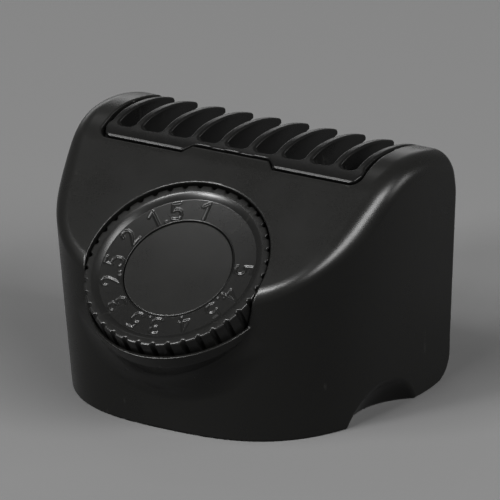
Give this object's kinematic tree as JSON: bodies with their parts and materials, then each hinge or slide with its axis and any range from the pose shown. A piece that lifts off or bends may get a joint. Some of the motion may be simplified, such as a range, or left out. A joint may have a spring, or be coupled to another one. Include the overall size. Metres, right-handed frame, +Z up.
{
  "type": "hair clipper comb attachment",
  "caption": "Clip-on clipper comb: a sloping black housing with a numbered dial that slides a toothed comb in and out by a few millimetres.",
  "frame": {"origin": "middle of the base, halfway between the dial's rim at the front and the flat back, on the surface the housing stands on", "axes": "+Z up, -Y to the front, where the dial is, +X to the right of someone facing the dial"},
  "size_m": [0.0466, 0.0398, 0.0322],
  "materials": {
    "housing": "black moulded plastic with a fine spark-eroded grain, satin",
    "dial": "black moulded plastic, fine grain, satin, engraved numbers",
    "dial_cap": "black moulded plastic, very fine grain, satin",
    "comb": "black moulded plastic, smoother than the housing",
    "inner_plastic": "plain black moulded plastic",
    "slippery_plastic": "natural acetal, slightly waxy",
    "screws": "zinc-plated steel",
    "spring_steel": "bright stainless spring steel",
    "felt": "dense black felt"
  },
  "bodies": {
    "housing": {"housing_shell": "housing", "guide_frame": "inner_plastic", "frame_screws": "screws", "detent_spring": "spring_steel", "detent_screw": "screws"},
    "dial": {"dial": "dial", "dial_cap": "dial_cap", "dial_screw": "screws", "friction_ring": "felt", "cam_disc": "slippery_plastic"},
    "comb": {"comb": "comb", "comb_slider": "slippery_plastic", "follower_pin": "spring_steel", "slider_screws": "screws"}
  },
  "joints": [
    {"name": "dial_turn", "type": "hinge", "parent": "housing", "child": "dial", "pos_m": [0, -0.01001, 0.0204], "axis": [0, 0.5878, -0.809], "range_deg": [0, 280], "deforming": ["detent_spring"]},
    {"name": "comb_slide", "type": "slide", "parent": "housing", "child": "comb", "axis": [0, 0.809, 0.5878], "range_m": [0, 0.004]}
  ],
  "couplings": [
    {"joint": "comb_slide", "follows": "dial_turn", "m_per_rad": 0.00081851}
  ]
}
